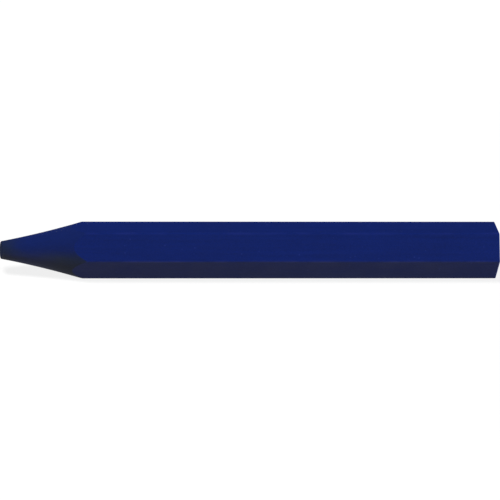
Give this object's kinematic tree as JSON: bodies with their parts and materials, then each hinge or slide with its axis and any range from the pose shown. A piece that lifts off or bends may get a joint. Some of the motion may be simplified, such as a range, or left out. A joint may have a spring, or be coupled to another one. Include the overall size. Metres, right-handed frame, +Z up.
{
  "type": "chalk stick",
  "caption": "Hexagonal stick of wax-bound marking chalk with a blunt hollow-tapered round point and a plain flat butt, lying on one of its flats.",
  "frame": {"origin": "on the underside, halfway along the stick and on its centreline", "axes": "+X along the stick from the point to the butt, +Z up out of the flat that it lies on, +Y across it"},
  "size_m": [0.12, 0.0136, 0.0119],
  "materials": {
    "wax_chalk": "satin"
  },
  "bodies": {
    "root": {"chalk_stick": "wax_chalk"}
  },
  "joints": []
}
